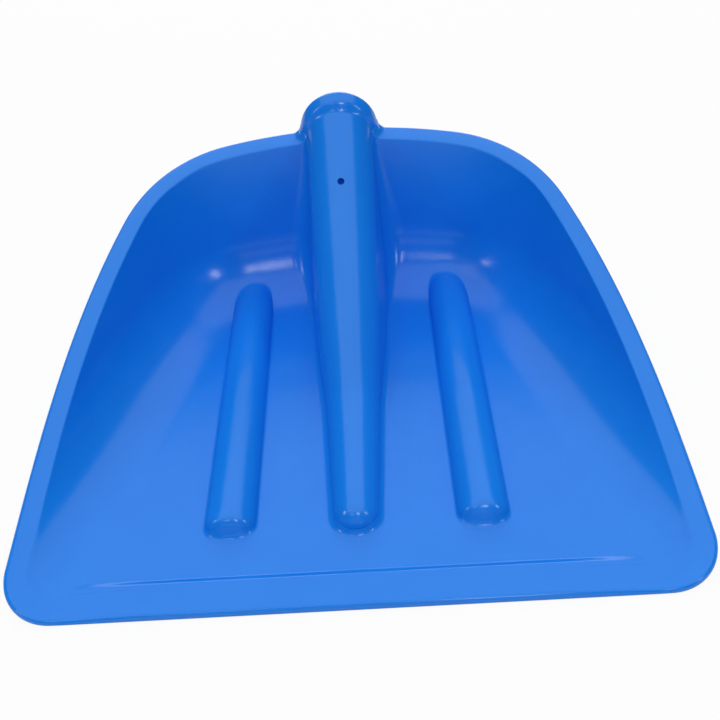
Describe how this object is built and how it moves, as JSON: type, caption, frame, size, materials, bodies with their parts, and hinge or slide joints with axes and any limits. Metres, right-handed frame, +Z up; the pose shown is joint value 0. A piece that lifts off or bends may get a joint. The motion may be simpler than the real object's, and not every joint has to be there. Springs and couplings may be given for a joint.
{
  "type": "feed scoop",
  "caption": "Wide moulded plastic feed scoop blade with a bowl-like back, flat rim, stiffening ribs and a round socket for a wooden handle.",
  "frame": {"origin": "on the ground below the middle of the whole blade's box", "axes": "+X across the blade to the right, +Y from the leading edge back to the handle socket, +Z up from the floor's underside"},
  "size_m": [0.36, 0.2944, 0.1344],
  "materials": {
    "blue_plastic": "satin, as moulded"
  },
  "bodies": {
    "root": {"blade_floor": "blue_plastic", "left_side_wall": "blue_plastic", "right_side_wall": "blue_plastic", "left_corner_wall": "blue_plastic", "right_corner_wall": "blue_plastic", "left_back_wall": "blue_plastic", "right_back_wall": "blue_plastic", "front_edge": "blue_plastic", "left_rim_flange": "blue_plastic", "right_rim_flange": "blue_plastic", "handle_socket": "blue_plastic", "socket_collar": "blue_plastic", "left_socket_skirt": "blue_plastic", "right_socket_skirt": "blue_plastic", "socket_nose": "blue_plastic", "left_rib": "blue_plastic", "right_rib": "blue_plastic"}
  },
  "joints": []
}
